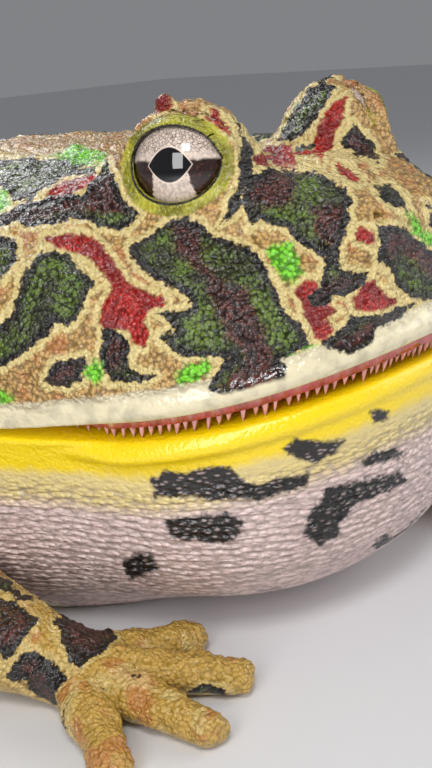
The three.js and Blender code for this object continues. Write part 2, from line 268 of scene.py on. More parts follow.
def egg(p, centre, half, power=2.0):
    q = np.abs((p - np.float32(centre)) / np.float32(half)) + 1e-6
    k = (q**power).sum(-1) ** (1.0 / power)
    slope = ((q ** (power - 1.0) / np.float32(half)) ** 2).sum(-1)
    return (k - 1.0) / np.maximum(k ** (1.0 - power) * np.sqrt(slope), 0.01)


def tub(p, centre, half, plan_power, side_power):
    q = np.abs((p - np.float32(centre)) / np.float32(half)) + 1e-6
    plan = (q[..., 0] ** plan_power + q[..., 1] ** plan_power) ** (1.0 / plan_power)
    k = (plan**side_power + q[..., 2] ** side_power) ** (1.0 / side_power)
    inwards = k ** (1.0 - side_power) * plan ** (side_power - plan_power)
    across = (inwards * q[..., 0] ** (plan_power - 1) / half[0]) ** 2
    along = (inwards * q[..., 1] ** (plan_power - 1) / half[1]) ** 2
    upward = ((q[..., 2] / k) ** (side_power - 1) / half[2]) ** 2
    return (k - 1.0) / np.maximum(np.sqrt(across + along + upward), 0.01)


def taper(p, a, b, ra, rb):
    a = np.float32(a)
    d = np.float32(b) - a
    t = np.clip(((p - a) @ d) / (d @ d), 0.0, 1.0)
    return np.linalg.norm(p - a - t[..., None] * d, axis=-1) - (ra + (rb - ra) * t)


def chain(p, points, radii, k):
    field = taper(p, points[0], points[1], radii[0], radii[1])
    for i in range(1, len(points) - 1):
        field = soft_min(field, taper(p, points[i], points[i + 1], radii[i], radii[i + 1]), k)
    return field


def between(a, b, t):
    return tuple(a[i] + t * (b[i] - a[i]) for i in range(3))


def polygon_distance(u, v, outline):
    """Signed distance from points (u, v) to a closed outline, negative inside."""
    points = np.float32(outline).reshape(-1, 2)
    nearest = np.full(u.shape, FAR, np.float32)
    inside = np.zeros(u.shape, bool)
    for (ax, ay), (bx, by) in zip(points, np.roll(points, -1, axis=0)):
        ex, ey = bx - ax, by - ay
        t = np.clip(((u - ax) * ex + (v - ay) * ey) / (ex * ex + ey * ey + 1e-9), 0, 1)
        nearest = np.minimum(nearest, (u - ax - t * ex) ** 2 + (v - ay - t * ey) ** 2)
        crosses = (ay > v) != (by > v)
        reach = ax + (v - ay) * ex / (ey if abs(ey) > 1e-9 else 1e-9)
        inside ^= crosses & (u < reach)
    return np.where(inside, -1, 1) * np.sqrt(nearest)


# The frog's form
def facing(turn, lift):
    """Side, up and out of something that is turned from -Y towards +X, and lifted."""
    out = np.array((math.sin(turn) * math.cos(lift), -math.cos(turn) * math.cos(lift), math.sin(lift)))
    side = np.cross((0, 0, 1), out)
    side /= np.linalg.norm(side)
    return side, np.cross(out, side), out


EYE_SIDE, EYE_UP, EYE_AXIS = facing(EYE_TURN, EYE_LIFT)
EYE = np.array([(low + high) / 2 / MM for low, high in zip(*EYE_BOX)])
EYE_RADIUS = (EYE_BOX[1][0] - EYE_BOX[0][0]) / 2 / MM


def lip_height(p):
    """Height of the mouth line, which falls towards the jaw corners."""
    return LIP_Z - LIP_DROP * np.clip(np.abs(p[..., 0]) / JAW_HALF_WIDTH, 0, 1.2) ** 2


def lip_inset(p):
    """How far a point lies inside the lip curve seen from above."""
    x = np.abs(p[..., 0]) / JAW_HALF_WIDTH
    y = np.maximum(JAW_CORNER_Y - p[..., 1], 0) / JAW_LENGTH
    k = (x**LIP_POWER + y**LIP_POWER + 1e-9) ** (1 / LIP_POWER)
    return (1 - k) * (JAW_HALF_WIDTH + JAW_LENGTH) / 2


def mouth_gape(p):
    return MOUTH_OPEN * np.clip((JAW_CORNER_Y + GAPE_BEHIND_CORNER - p[..., 1]) / GAPE_LENGTH, 0, 1)


def head_form(p):
    share = mouth_gape(p) / MOUTH_OPEN
    below = np.clip((lip_height(p) - p[..., 2]) / MOUTH_OPEN, 0, 1)
    f = soft_min(egg(p, *JAWS), tub(p, *CHIN), BLEND["chin"]) + LOWER_JAW_SET_BACK * share * below
    f = soft_min(f, egg(p, *SNOUT), BLEND["snout"])
    f = soft_min(f, taper(p, *SNOUT_RIDGE), BLEND["snout_ridge"])
    f = soft_min(f, taper(p, *BROW_RIDGE), BLEND["brow"])
    return soft_min(f, egg(p, *CHEEK), BLEND["cheek"])


def torso_form(p):
    t = np.clip((p[..., 1] - TORSO_CENTRE[1]) / TORSO_HALF[1], 0, 1)
    behind = t * t * (3 - 2 * t)
    q = p.copy()
    q[..., 2] += np.maximum(p[..., 2] - TORSO_CENTRE[2], 0) * RUMP_SLOPE * behind
    return egg(q, TORSO_CENTRE, TORSO_HALF, TORSO_POWER)


def mound_form(p):
    local = np.stack(lid_frame(p), -1)
    wall = egg(local, (0, 0, -MOUND_SET_BACK), MOUND_HALF)
    return soft_min(wall, taper(p, HORN_FOOT, HORN_TIP, *HORN_RADII), BLEND["horn"])


def bent(p, start, end, radii, k):
    """A part of a limb, with its radii at its start, half way and at its end."""
    return chain(p, (start, between(start, end, 0.5), end), radii, k)


def with_digits(p, form, root, tips, radii):
    """Adds a finger or toe to a hand or foot for each tip."""
    for tip in tips:
        form = soft_min(form, bent(p, root, tip, radii, BLEND["digit"]), BLEND["digit"])
    return form


def web_form(p):
    """Skin between the toes."""
    outline = [(TARSUS[0], TARSUS[1])]
    for i, tip in enumerate(TOE_TIPS):
        outline.append(between(TARSUS, tip, WEB_REACH)[:2])
        if i + 1 < len(TOE_TIPS):
            outline.append(between(TARSUS, between(tip, TOE_TIPS[i + 1], 0.5), WEB_NOTCH)[:2])
    rim = polygon_distance(p[..., 0], p[..., 1], outline)
    return np.maximum(rim, np.abs(p[..., 2] - WEB_HEIGHT) - WEB_HALF_THICKNESS)


def limb_form(p):
    """The left arm with its hand, and the left leg with its foot."""
    arm = bent(p, SHOULDER, ELBOW, UPPER_ARM_RADII, BLEND["bend"])
    arm = soft_min(arm, bent(p, ELBOW, WRIST, FOREARM_RADII, BLEND["bend"]), BLEND["elbow"])
    hand = with_digits(p, taper(p, WRIST, PALM, *PALM_RADII), PALM, FINGER_TIPS, FINGER_RADII)
    leg = bent(p, HIP, KNEE, THIGH_RADII, BLEND["bend"])
    leg = soft_min(leg, chain(p, (KNEE, SHIN, ANKLE), SHANK_RADII, BLEND["bend"]), BLEND["knee"])
    foot = with_digits(p, taper(p, ANKLE, TARSUS, *INSTEP_RADII), TARSUS, TOE_TIPS, TOE_RADII)
    foot = soft_min(foot, web_form(p), BLEND["web"])
    return soft_min(arm, hand, BLEND["wrist"]), soft_min(leg, foot, BLEND["wrist"])


def lid_frame(p):
    """Place of a point round the eye: across, up, and out along the eye's axis."""
    d = p - np.float32(EYE)
    return d @ np.float32(EYE_SIDE), d @ np.float32(EYE_UP), d @ np.float32(EYE_AXIS)


def eye_opening(p, grow=0.0):
    """Distance outside the lids' oval edge, as seen along the eye's axis."""
    u, v, _ = lid_frame(p)
    w, h = LID_HALF_WIDTH + grow, LID_HALF_HEIGHT + grow
    k = np.sqrt((u / w) ** 2 + (v / h) ** 2) + 1e-6
    away = np.sqrt(u * u + v * v)
    return away * (1 - 1 / k)


def open_eye(p, f):
    """Cuts the lids' opening and the socket, and rolls the lids' edge round it."""
    u, v, out = lid_frame(p)
    f = soft_max(f, -np.maximum(eye_opening(p), 1.0 - out), CUT["lids"])
    edge_out = np.sqrt(np.maximum(EYE_RADIUS**2 - (u * u + v * v), 4.0)) + LID_PROUD
    rim = np.sqrt(eye_opening(p, LID_EDGE_SHIFT) ** 2 + (out - edge_out) ** 2) - LID_EDGE_RADIUS
    f = soft_min(f, rim, BLEND["lid_edge"])
    socket = np.linalg.norm(p - np.float32(EYE), axis=-1) - (EYE_RADIUS + SOCKET_GAP)
    return soft_max(f, -socket, CUT["socket"])


def open_mouth(p, f):
    """Parts the lips over the gum, and rolls both lips."""
    rise = p[..., 2] - lip_height(p)
    inset = lip_inset(p)
    gape = mouth_gape(p)
    front = np.clip((JAW_CORNER_Y + LIPS_BEHIND_CORNER - p[..., 1]) / LIPS_FADE, 0, 1)
    faded = 2.0 * (1 - front)
    upper = np.sqrt((inset - LIP_ROLL + 0.4) ** 2 + (rise - LIP_ROLL) ** 2) - LIP_ROLL + faded
    lower_inset = inset - LOWER_LIP_ROLL - LOWER_JAW_SET_BACK + 0.3
    lower = np.sqrt(lower_inset**2 + (rise + gape + LOWER_LIP_ROLL) ** 2) - LOWER_LIP_ROLL + faded
    f = soft_min(soft_min(f, upper, BLEND["upper_lip"]), lower, BLEND["lower_lip"])
    gum = GUM_DEPTH * gape / MOUTH_OPEN
    roof = np.where(inset > LIP_THICKNESS, -gum, 0.0)
    roof = np.where(inset > LIP_THICKNESS + GUM_WIDTH, ROOF_RISE, roof)
    slot = np.maximum(rise - roof, -gape - rise)
    slot = np.maximum(slot, inset - MOUTH_DEPTH)
    slot = np.where(front * gape > NARROWEST_SLOT, slot, 5.0)
    return soft_max(f, -slot, CUT["mouth"])


def frog_form(p):
    """The whole skin: p is an (N, 3) array in millimetres."""
    q = np.array(p, np.float32)
    q[..., 0] = np.abs(q[..., 0])
    f = soft_min(head_form(q), mound_form(q), BLEND["mound"])
    f = soft_min(f, torso_form(q), BLEND["torso"])
    for limb in limb_form(q):
        f = soft_min(f, limb, BLEND["limb"])
    f = open_eye(q, f)
    f = open_mouth(q, f)
    nostril = np.linalg.norm(q - np.float32(NOSTRIL), axis=-1) - NOSTRIL_RADIUS
    f = soft_max(f, -nostril, CUT["nostril"])
    return soft_max(f, -q[..., 2], CUT["floor"])


# Meshing
def graded(low, high, fine_low, fine_high, fine, coarse):
    steps = [low]
    while steps[-1] < high:
        at = steps[-1]
        steps.append(at + (fine if fine_low <= at < fine_high else coarse))
    return np.array(steps, np.float32)


def sampled_form(axes, form):
    """Field on a grid, worked out in full only where a coarse pass comes near the skin."""
    stride = 3
    padded = [np.append(a[::stride], a[-1] + (a[-1] - a[-2])) for a in axes]
    coarse = form(np.stack(np.meshgrid(*padded, indexing="ij"), -1))
    index = [np.arange(len(a)) // stride for a in axes]
    share = []
    for a, c, i in zip(axes, padded, index):
        share.append(((a - c[i]) / (c[i + 1] - c[i])).astype(np.float32))
    field = np.zeros(tuple(len(a) for a in axes), np.float32)
    for corner in range(8):
        pick, weight = [], []
        for k in range(3):
            high = (corner >> k) & 1
            pick.append(index[k] + high)
            weight.append(share[k] if high else 1 - share[k])
        block = coarse[np.ix_(*pick)]
        across, along, upward = weight
        field += block * across[:, None, None] * along[None, :, None] * upward[None, None, :]
    near = np.argwhere(np.abs(field) < NEAR_SKIN)
    points = np.stack([axes[k][near[:, k]] for k in range(3)], -1)
    for start in range(0, len(points), BATCH):
        part = slice(start, start + BATCH)
        field[tuple(near[part].T)] = form(points[part])
    return field


def cells_round(cell, u, v):
    """The four grid cells that meet at an edge, in turn round it."""
    for du, dv in ((0, 0), (-1, 0), (-1, -1), (0, -1)):
        j = cell.copy()
        j[:, u] += du
        j[:, v] += dv
        yield j


def surface_net(axes, field):
    """One vertex in each grid cell that the skin crosses, and one quad for each crossed edge."""
    shape = tuple(n - 1 for n in field.shape)
    total = np.zeros(shape + (3,), np.float32)
    count = np.zeros(shape, np.int32)
    quads = []
    crossings = []
    for axis in range(3):
        first = [slice(None)] * 3
        second = [slice(None)] * 3
        first[axis] = slice(0, -1)
        second[axis] = slice(1, None)
        a, b = field[tuple(first)], field[tuple(second)]
        cell = np.argwhere((a < 0) != (b < 0))
        fa, fb = a[tuple(cell.T)], b[tuple(cell.T)]
        place = np.stack([axes[k][cell[:, k]] for k in range(3)], -1)
        step = axes[axis][cell[:, axis] + 1] - axes[axis][cell[:, axis]]
        place[:, axis] += fa / (fa - fb) * step
        u, v = (axis + 1) % 3, (axis + 2) % 3
        for j in cells_round(cell, u, v):
            held = np.all((j >= 0) & (j < shape), axis=1)
            np.add.at(total, tuple(j[held].T), place[held])
            np.add.at(count, tuple(j[held].T), 1)
        crossings.append((cell, u, v, fb < 0))
    number = np.full(shape, -1, np.int64)
    used = count > 0
    number[used] = np.arange(used.sum())
    for cell, u, v, flip in crossings:
        inner = (cell[:, u] > 0) & (cell[:, v] > 0)
        inner &= (cell[:, u] < field.shape[u] - 1) & (cell[:, v] < field.shape[v] - 1)
        cell, flip = cell[inner], flip[inner]
        quad = np.stack([number[tuple(j.T)] for j in cells_round(cell, u, v)], -1)
        quad[flip] = quad[flip][:, ::-1]
        quads.append(quad)
    return total[used] / count[used][:, None], np.concatenate(quads)


def slope(points, form):
    grad = np.empty_like(points)
    for axis in range(3):
        step = np.zeros(3, np.float32)
        step[axis] = SLOPE_STEP
        grad[:, axis] = (form(points + step) - form(points - step)) / (2 * SLOPE_STEP)
    return grad


def settle(points, form):
    """Moves points onto the skin along the field's slope."""
    for _ in range(SETTLING_ROUNDS):
        grad = slope(points, form)
        move = (form(points) / np.maximum((grad * grad).sum(1), 0.2))[:, None] * grad
        length = np.linalg.norm(move, axis=1, keepdims=True)
        points -= move * np.minimum(1, LONGEST_MOVE / np.maximum(length, 1e-6))
    return points


# Markings: outlines on the photograph, in its pixels, for the side of the face that it shows.
# The numbers of an outline are x, y, x, y and so on.
ISLANDS = (
    (128, 248, 133, 243, 150, 238, 165, 226, 170, 219, 186, 218, 199, 223, 211, 234, 227, 240, 245, 247,
     259, 257, 266, 272, 275, 286, 280, 300, 286, 315, 300, 327, 307, 334, 308, 345, 296, 352, 280, 359,
     287, 370, 284, 384, 271, 394, 245, 399, 216, 395, 207, 388, 218, 370, 231, 358, 219, 357, 189, 356,
     172, 350, 160, 339, 162, 334, 176, 331, 165, 318, 153, 313, 181, 312, 191, 308, 188, 298, 164, 284,
     141, 270),
    (247, 216, 240, 196, 250, 178, 271, 168, 295, 171, 314, 171, 329, 181, 345, 190, 350, 200, 348, 220,
     343, 236, 337, 252, 325, 256, 307, 249, 293, 238, 286, 229, 271, 225, 259, 220, 252, 227),
    (326, 250, 338, 250, 339, 263, 343, 273, 355, 271, 366, 274, 361, 286, 352, 293, 332, 299, 325, 307,
     311, 306, 307, 295, 321, 286, 325, 272),
    (350, 318, 370, 316, 396, 309, 414, 303, 402, 318, 379, 331, 371, 347, 352, 356, 332, 352, 320, 345,
     332, 334, 343, 327),
    (377, 227, 396, 225, 414, 234, 432, 250, 450, 258, 458, 285, 440, 302, 411, 298, 396, 286, 389, 274,
     386, 265, 377, 264, 376, 252, 379, 241),
    (375, 186, 388, 184, 404, 200, 407, 212, 394, 208, 381, 199),
    (424, 205, 440, 214, 446, 228, 432, 226),
    (41, 253, 67, 253, 74, 262, 86, 277, 96, 288, 88, 296, 83, 310, 74, 322, 65, 325, 53, 322, 52, 332,
     34, 346, 14, 360, 0, 367, -14, 370, -14, 331, 0, 324, 9, 315, 17, 300, 21, 284, 26, 270, 34, 264),
    (-14, 240, 9, 240, 19, 246, 17, 260, 12, 270, 0, 281, -14, 281),
    (-14, 160, 17, 158, 69, 158, 98, 166, 96, 174, 65, 178, 48, 189, 28, 200, 14, 202, 10, 195, 0, 188,
     -14, 184),
    (-14, 217, 34, 202, 83, 195, 96, 181, 110, 165, 118, 180, 121, 198, 141, 215, 127, 231, 103, 231,
     93, 222, 72, 220, 52, 227, 34, 231, 17, 226, -14, 233),
    (103, 332, 117, 329, 127, 336, 131, 348, 129, 367, 141, 374, 155, 376, 146, 381, 127, 382, 110, 381,
     102, 370, 100, 353),
    (52, 365, 72, 358, 86, 357, 88, 367, 81, 372, 83, 382, 65, 386, 48, 384, 48, 374),
    (294, 146, 315, 146, 313, 158, 296, 157),
    (340, 143, 355, 123, 372, 141, 381, 168, 362, 160, 345, 152),
    (234, 116, 246, 138, 256, 160, 250, 178, 242, 200, 232, 216, 221, 224, 228, 206, 238, 184, 242, 158,
     238, 134),
    (276, 140, 300, 97, 330, 77, 338, 82, 330, 98, 316, 118, 302, 138, 288, 142),
    (464, 240, 484, 252, 486, 290, 468, 300, 460, 270),
)
MAROONS = (
    (170, 222, 189, 219, 203, 228, 202, 246, 205, 262, 223, 280, 250, 290, 254, 307, 263, 325, 272, 350,
     283, 370, 279, 383, 259, 394, 236, 396, 220, 388, 240, 366, 243, 352, 227, 340, 218, 322, 210, 299,
     202, 281, 186, 262, 174, 246),
    (246, 206, 244, 190, 262, 172, 290, 169, 297, 186, 296, 205, 270, 210),
    (311, 212, 330, 203, 350, 205, 349, 228, 338, 250, 322, 242, 312, 226),
    (310, 284, 340, 276, 362, 272, 360, 288, 330, 300, 312, 308),
    (372, 318, 400, 306, 404, 318, 376, 338, 352, 356, 322, 347, 340, 336),
    (377, 227, 396, 225, 414, 234, 445, 258, 440, 284, 418, 272, 398, 250, 384, 262),
    (-14, 216, 34, 201, 83, 194, 112, 164, 121, 198, 142, 216, 110, 216, 70, 214, 34, 226, -14, 234),
    (100, 330, 131, 334, 132, 352, 120, 372, 102, 368),
    (48, 362, 88, 358, 84, 384, 48, 386),
    (338, 143, 355, 121, 374, 141, 383, 170, 362, 162),
    (232, 112, 250, 138, 262, 168, 246, 196, 218, 228, 226, 200, 238, 184, 240, 140),
)
REDS = (
    (45, 241, 57, 238, 83, 236, 96, 240, 107, 253, 117, 267, 127, 281, 152, 293, 169, 300, 164, 308,
     150, 312, 145, 322, 150, 336, 145, 346, 131, 345, 127, 332, 107, 329, 100, 322, 102, 310, 110, 296,
     112, 286, 103, 274, 93, 262, 74, 253, 57, 250),
    (295, 291, 307, 279, 318, 281, 320, 292, 329, 306, 336, 313, 323, 320, 332, 331, 325, 341, 314, 338,
     307, 320, 300, 309),
    (352, 300, 361, 284, 371, 281, 387, 295, 396, 302, 389, 309, 368, 313, 354, 309),
    (354, 234, 361, 229, 373, 231, 375, 243, 366, 245, 355, 241),
    (254, 156, 271, 146, 293, 144, 297, 168, 280, 168, 259, 165),
    (315, 140, 320, 120, 334, 102, 346, 96, 344, 114, 336, 132, 335, 149, 322, 164, 314, 160),
    (336, 166, 352, 170, 362, 182, 350, 184, 338, 176),
    (48, 197, 65, 180, 96, 175, 100, 181, 86, 191, 69, 199, 52, 202),
    (149, 112, 152, 99, 168, 97, 173, 106, 164, 112),
    (204, 118, 214, 112, 228, 124, 232, 136, 222, 132),
)
LIMES = (
    (270, 245, 293, 240, 300, 263, 305, 274, 300, 281, 287, 284, 271, 268, 266, 256),
    (291, 357, 314, 345, 319, 352, 311, 361, 293, 364),
    (176, 372, 186, 362, 210, 358, 213, 369, 198, 383, 181, 386),
    (84, 372, 93, 357, 102, 363, 105, 379, 96, 384, 86, 377),
    (-14, 186, 7, 190, 11, 203, 4, 214, -14, 216),
    (43, 155, 77, 147, 107, 154, 105, 168, 86, 168, 69, 161),
    (-14, 385, 8, 391, 14, 400, 0, 412, -14, 412),
    (404, 213, 412, 214, 434, 236, 440, 250, 430, 246, 414, 234),
    (264, 136, 278, 118, 292, 92, 298, 96, 284, 122, 272, 140),
)
BLOTCHES = (
    (150, 480, 165, 470, 187, 473, 203, 466, 229, 468, 241, 477, 259, 485, 308, 471, 306, 485, 259, 500,
     214, 500, 188, 496, 155, 498),
    (283, 449, 296, 438, 326, 442, 345, 440, 337, 451, 319, 462, 304, 460, 289, 455),
    (362, 460, 373, 453, 395, 447, 404, 455, 388, 462, 360, 468),
    (371, 412, 389, 410, 388, 421, 373, 423),
    (326, 488, 363, 481, 401, 471, 408, 483, 388, 492, 358, 503, 341, 522, 337, 539, 319, 546, 304, 535,
     306, 518, 322, 499),
    (165, 520, 190, 516, 226, 514, 244, 522, 241, 537, 222, 544, 192, 540, 170, 538),
    (259, 591, 281, 587, 289, 594, 315, 591, 341, 579, 356, 587, 334, 602, 296, 607, 270, 600),
    (373, 546, 384, 535, 399, 539, 388, 550, 378, 557),
    (416, 525, 427, 509, 440, 524, 419, 531),
    (120, 560, 150, 552, 160, 570, 130, 580),
    (440, 450, 470, 440, 480, 452, 450, 466),
)


def camera_axes():
    """The camera's place in millimetres, and its right, up and back directions."""
    level, above, back = facing(CAMERA_AZIMUTH, CAMERA_ELEVATION)
    cos, sin = math.cos(CAMERA_ROLL), math.sin(CAMERA_ROLL)
    place = CAMERA_TARGET + back * CAMERA_DISTANCE
    return place, level * cos + above * sin, above * cos - level * sin, back


def face_chart(points, normals):
    """Photograph pixels of points on the right of the face, millimetres in a pixel, and how far they show."""
    place, right, up, back = camera_axes()
    rays = points - place
    depth = -(rays @ back)
    safe = np.maximum(depth, 20)
    u = PHOTO_WIDTH / 2 + FOCAL_PIXELS * (rays @ right) / safe
    v = PHOTO_HEIGHT / 2 - FOCAL_PIXELS * (rays @ up) / safe
    toward = -(rays * normals).sum(1) / np.linalg.norm(rays, axis=1)
    return u, v, safe / FOCAL_PIXELS, toward


def ramp(x, low, high):
    t = np.clip((x - low) / (high - low), 0, 1)
    return t * t * (3 - 2 * t)


# Noise that does not depend on the mesh
PRIMES = (73856093, 19349663, 83492791, 2654435761)
STIR = 1274126177
WORD = 0xFFFFFFFF
NEIGHBOURS = [(x, y, z) for x in (-1, 0, 1) for y in (-1, 0, 1) for z in (-1, 0, 1)]


def lattice_random(cells, seed):
    """A number from 0 to 1 for each cell, from its place and a seed."""
    n = cells.astype(np.int64)
    h = n[..., 0] * PRIMES[0] ^ n[..., 1] * PRIMES[1] ^ n[..., 2] * PRIMES[2] ^ seed * PRIMES[3]
    h = (h ^ (h >> 13)) * STIR & WORD
    h = (h ^ (h >> 16)) & WORD
    return (h / WORD).astype(np.float32)


def value_noise(points, size, seed):
    """Smooth noise from -1 to 1 with features of the given size."""
    scaled = points / size
    base = np.floor(scaled)
    part = scaled - base
    part = part * part * (3 - 2 * part)
    total = np.zeros(len(points), np.float32)
    for corner in range(8):
        offset = np.array([(corner >> k) & 1 for k in range(3)])
        weight = np.prod(np.where(offset, part, 1 - part), axis=1)
        total += weight * lattice_random(base + offset, seed)
    return total * 2 - 1


def spots_near(points, size, seed):
    """Points in cells of a size, with each cell round them and a random spot in it from 0 to 1."""
    scaled = points / size
    base = np.floor(scaled)
    for step in NEIGHBOURS:
        cell = base + np.array(step)
        yield scaled, cell, np.stack([lattice_random(cell, seed + k) for k in range(3)], -1)


def granules(points, size, seed, keep=1.0):
    """Rounded bumps, one in each cell of a jittered lattice: 1 at a bump's top, 0 in the creases."""
    best = np.full(len(points), 9.0, np.float32)
    for scaled, cell, spot in spots_near(points, size, seed):
        away = ((cell + spot - scaled) ** 2).sum(1)
        if keep < 1.0:
            away = np.where(lattice_random(cell, seed + 5) < keep, away, 9.0)
        best = np.minimum(best, away)
    return np.clip(1 - best / 0.45, 0, 1)


def nearest_outline(u, v, outlines):
    """Signed distance to the nearest of several outlines."""
    return np.minimum.reduce([polygon_distance(u, v, outline) for outline in outlines])


def spot_distance(points, size, low, high, seed, keep=1.0):
    """Distance to the nearest of scattered round spots with radii from low to high."""
    nearest = np.full(len(points), 50.0, np.float32)
    for scaled, cell, spot in spots_near(points, size, seed):
        radius = low + (high - low) * lattice_random(cell, seed + 7)
        away = np.linalg.norm((cell + 0.15 + 0.7 * spot - scaled) * size, axis=1) - radius
        away = np.where(lattice_random(cell, seed + 9) < keep, away, 50.0)
        nearest = np.minimum(nearest, away)
    return nearest


def cell_gap(points, size, seed):
    """Distance to the lines between the cells of a scatter of spots, and a number for each cell."""
    near = np.full(len(points), 9.0, np.float32)
    after = near.copy()
    tint = np.zeros(len(points), np.float32)
    for scaled, cell, spot in spots_near(points, size, seed):
        away = np.linalg.norm(cell + spot - scaled, axis=1)
        closer = away < near
        after = np.where(closer, near, np.minimum(after, away))
        tint = np.where(closer, lattice_random(cell, seed + 7), tint)
        near = np.where(closer, away, near)
    return (after - near) * size / 2, tint


def body_marks(points, limb):
    """Markings that the species has where the photograph shows none, nearly alike on both sides."""
    folded = points.copy()
    folded[:, 0] = np.abs(points[:, 0]) + 1.2 * value_noise(points, 14, 3)
    wavy = folded + 2.2 * value_noise(points, 7, 4)[:, None]
    wobble = 0.9 * value_noise(points, 4, 11) + 0.6 * value_noise(points, 1.8, 12)
    gap, tint = cell_gap(wavy, BODY_CELL, 21)
    limb_gap, limb_tint = cell_gap(wavy, LIMB_CELL, 41)
    digits = 1.2 * limb * (1 - ramp(points[:, 2], 3.5, 8))
    island = np.where(limb > 0.5, 1.0 - limb_gap, 1.5 - gap) + wobble + digits
    brown = np.where(limb > 0.5, limb_tint, tint) > 0.6
    red = 0.4 + 3.5 * value_noise(folded, 9, 61) + 4 * limb
    lime = spot_distance(folded, LIME_SPACING, *LIME_RADII, 81, 0.7) + 0.5 * wobble
    return {
        "island": island,
        "maroon": 2.4 + 4.5 * value_noise(points, 7, 15) - 5.0 * brown,
        "red": np.maximum(red, 0.8 - island),
        "lime": np.maximum(lime, 0.3 - island),
    }


def face_marks(points, normals, marks, limb):
    """Lays the photographed outlines over both sides of the face."""
    groups = {"island": ISLANDS, "maroon": MAROONS, "red": REDS, "lime": LIMES, "blotch": BLOTCHES}
    flip = np.float32((-1, 1, 1))
    left = points[:, 0] > 0
    mirrored = np.where(left[:, None], points * flip, points)
    turned = np.where(left[:, None], normals * flip, normals)
    direct = face_chart(points, normals)
    folded = face_chart(mirrored, turned)
    shift = 2.5 * value_noise(points, 9, 31) * left
    seen = ramp(direct[3], 0.02, 0.3) * left * (direct[0] < CHART_RIGHT)
    for chart, share in ((folded, np.ones(len(points))), (direct, seen)):
        u, v, scale, toward = chart
        share = share * ramp(u, *CHART_LEFT) * ramp(toward, -0.04, 0.1) * (limb < 0.5)
        share = share * (v < CHART_BOTTOM) * (u < FOLDED_RIGHT)
        held = share > 0.001
        at_u = (u + shift)[held]
        at_v = (v + shift * 0.7)[held]
        for name, outlines in groups.items():
            distance = nearest_outline(at_u, at_v, outlines) * scale[held]
            distance = np.clip(distance, -MARK_REACH, MARK_REACH)
            marks[name][held] += share[held] * (distance - marks[name][held])


def skin_marks(points, normals):
    """Every value that the skin's material reads, one number for each vertex."""
    q = points.copy()
    q[:, 0] = np.abs(q[:, 0])
    arm, leg = limb_form(q)
    trunk = np.minimum(head_form(q), torso_form(q))
    limb = ramp(trunk - np.minimum(arm, leg), -0.6, 1.4)
    marks = body_marks(points, limb)
    belly = spot_distance(q, BELLY_SPACING, *BELLY_RADII, 101, 0.5)
    marks["blotch"] = belly + 0.8 * value_noise(points, 2.5, 102)
    for name in marks:
        marks[name] = np.clip(marks[name], -MARK_REACH, MARK_REACH)
    face_marks(points, normals, marks, limb)
    rise = q[:, 2] - lip_height(q)
    inset = lip_inset(q)
    gape = mouth_gape(q)
    ahead = 1 - ramp(q[:, 1], JAW_CORNER_Y + 2, JAW_CORNER_Y + 12)
    jaw = ahead * ramp(-rise, gape * 0.4, gape * 0.7 + 0.2) * (1 - limb)
    other = np.maximum(jaw, limb)
    lip = np.where(ahead > 0.02, rise + (1 - ahead) * 12, NO_MARK)
    marks["lip"] = lip * (1 - other) + NO_MARK * other
    marks["jaw"] = jaw
    marks["drop"] = np.clip(-rise - gape, -2, 30)
    parted = ahead * (np.abs(rise + gape / 2) < gape / 2 + 1.0)
    behind_lip = ramp(inset, LIP_THICKNESS - 0.35, LIP_THICKNESS + 0.1)
    marks["gum"] = behind_lip * parted * (rise > -gape + 0.25)
    marks["inside"] = ramp(inset, 4.0, 6.5) * parted
    out = lid_frame(q)[2]
    marks["lid"] = np.where(out > -1.5, eye_opening(q), NO_MARK)
    flank = ramp(-normals[:, 2], 0.25, 0.75) * ramp(-q[:, 2], -20, -8)
    marks["ventral"] = np.maximum(jaw, flank)
    marks["limb"] = limb
    return marks


def skin_relief(points, marks, heights):
    """How far each vertex stands off the smooth form, in millimetres."""
    smooth = np.maximum.reduce(
        (
            1 - ramp(marks["lip"], 2.0, 3.2),
            marks["gum"],
            marks["inside"],
            1 - ramp(marks["lid"], 0.8, 1.8),
            marks["ventral"],
        )
    )
    rough = 1 - smooth
    warped = points + 0.25 * value_noise(points, 1.7, 50)[:, None]
    relief = heights["granule"] * (granules(warped, GRANULE_SIZE, 60) - 0.4)
    relief += heights["wart"] * granules(warped, WART_SIZE, 70, 0.5)
    behind = ramp(points[:, 1], -22, -8) * (1 - marks["limb"])
    crowned = 1 - ramp(spot_distance(points, TUBERCLE_SPACING, 0, 0, 120, 0.55), *TUBERCLE_EDGE)
    relief += heights["tubercle"] * crowned * behind
    folds = value_noise(points * np.float32((1, 1, 1.6)), FOLD_SIZE, 90)
    ridges = 1 - 2 * np.abs(value_noise(points * np.float32((1, 1, 1.4)), RIDGE_SIZE, 92))
    relief = (relief + FOLD_HEIGHT * folds + RIDGE_HEIGHT * ridges) * rough
    waves = points[:, 2] * WRINKLE_TURN + 2.6 * value_noise(points, 4, 95)
    waves = waves + 1.2 * value_noise(points, 1.5, 96)
    return relief + heights["wrinkle"] * np.sin(waves) * marks["jaw"] * ramp(marks["drop"], 5, 9)


# Blender objects and materials
def new_mesh(name, vertices, faces):
    """A smooth mesh object from millimetre vertices and faces of one size."""
    mesh = bpy.data.meshes.new(name)
    mesh.vertices.add(len(vertices))
    place_vertices(mesh, vertices)
    faces = np.asarray(faces, np.int32)
    mesh.loops.add(faces.size)
    mesh.loops.foreach_set("vertex_index", faces.ravel())
    mesh.polygons.add(len(faces))
    mesh.polygons.foreach_set("loop_start", np.arange(0, faces.size, faces.shape[1], dtype=np.int32))
    mesh.update(calc_edges=True)
    mesh.validate()
    mesh.shade_smooth()
    piece = bpy.data.objects.new(name, mesh)
    bpy.context.scene.collection.objects.link(piece)
    return piece


